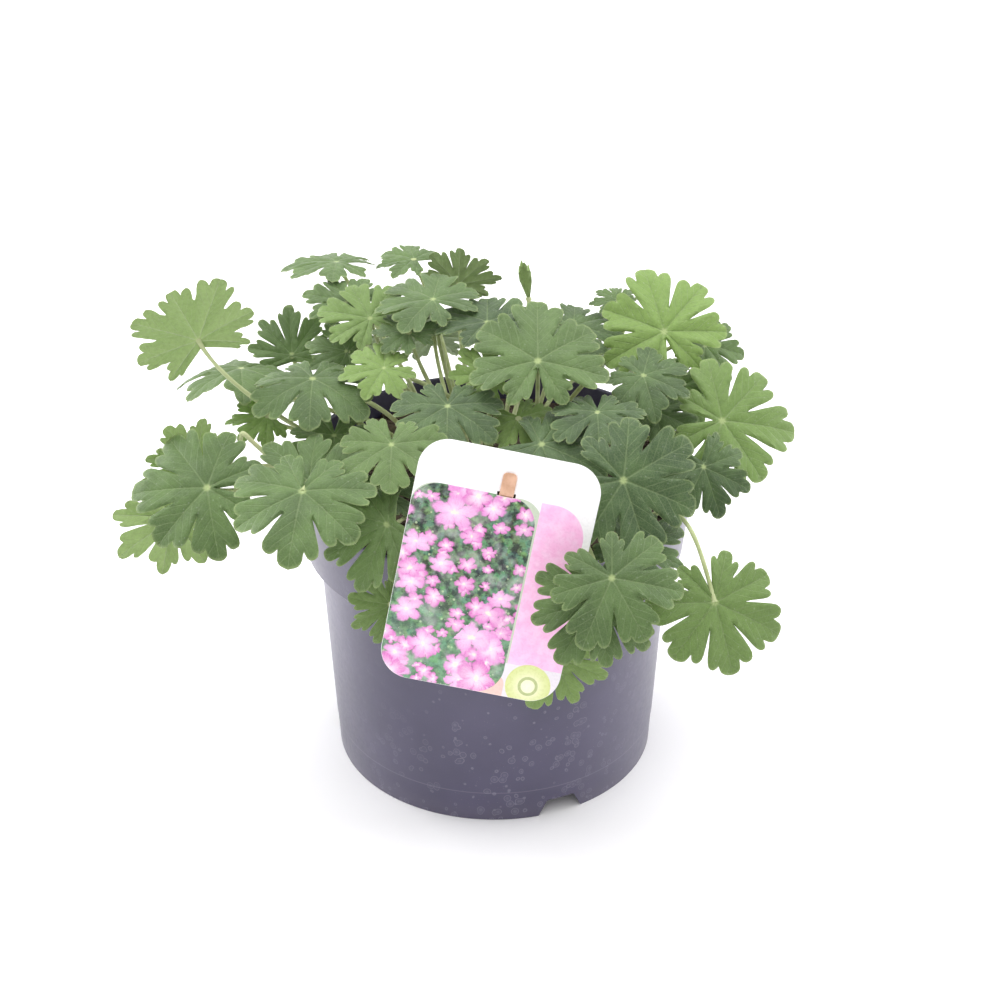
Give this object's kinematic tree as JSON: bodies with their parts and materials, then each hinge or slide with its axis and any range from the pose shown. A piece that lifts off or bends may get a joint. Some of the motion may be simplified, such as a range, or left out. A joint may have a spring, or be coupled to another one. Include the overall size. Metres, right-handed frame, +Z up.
{
  "type": "potted hardy geranium",
  "caption": "Hardy geranium with lobed, round-toothed leaves on thin arching stalks, in a round dark plastic nursery pot with a picture label.",
  "frame": {"origin": "middle of the outline's underside: on the ground, midway between the leftmost and rightmost leaf tips and between the front and back ones", "axes": "+Z up; the label faces -Y, the side the picture was taken from; +X to the viewer's right, along the plant's longest spread"},
  "size_m": [0.2824, 0.2376, 0.218],
  "materials": {
    "pot_plastic": "satin injection-moulded plastic with dried water marks",
    "soil": "crumbly peat compost",
    "label_card": "printed thin plastic card",
    "label_stake": "tan plastic",
    "rootstock": "dry, scaly and brown",
    "leaf": "softly hairy green leaf, paler below"
  },
  "bodies": {
    "root": {"label_card": "label_card", "label_stake": "label_stake", "leaf_back_1": "leaf", "leaf_back_2": "leaf", "leaf_back_3": "leaf", "leaf_back_4": "leaf", "leaf_back_5": "leaf", "leaf_back_6": "leaf", "leaf_front_1": "leaf", "leaf_front_2": "leaf", "leaf_front_3": "leaf", "leaf_front_4": "leaf", "leaf_front_5": "leaf", "leaf_front_6": "leaf", "leaf_front_7": "leaf", "leaf_left_1": "leaf", "leaf_left_10": "leaf", "leaf_left_2": "leaf", "leaf_left_3": "leaf", "leaf_left_4": "leaf", "leaf_left_5": "leaf", "leaf_left_6": "leaf", "leaf_left_7": "leaf", "leaf_left_8": "leaf", "leaf_left_9": "leaf", "leaf_mid_1": "leaf", "leaf_mid_2": "leaf", "leaf_mid_3": "leaf", "leaf_mid_4": "leaf", "leaf_mid_5": "leaf", "leaf_mid_6": "leaf", "leaf_mid_7": "leaf", "leaf_mid_8": "leaf", "leaf_mid_9": "leaf", "leaf_right_1": "leaf", "leaf_right_2": "leaf", "leaf_right_3": "leaf", "leaf_right_4": "leaf", "leaf_right_5": "leaf", "leaf_right_6": "leaf", "leaf_right_7": "leaf", "leaf_right_8": "leaf", "leaf_top_1": "leaf", "leaf_top_10": "leaf", "leaf_top_11": "leaf", "leaf_top_12": "leaf", "leaf_top_2": "leaf", "leaf_top_3": "leaf", "leaf_top_4": "leaf", "leaf_top_5": "leaf", "leaf_top_6": "leaf", "leaf_top_7": "leaf", "leaf_top_8": "leaf", "leaf_top_9": "leaf", "leaf_young": "leaf", "pot": "pot_plastic", "rootstock_1": "rootstock", "rootstock_2": "rootstock", "soil": "soil"}
  },
  "joints": []
}
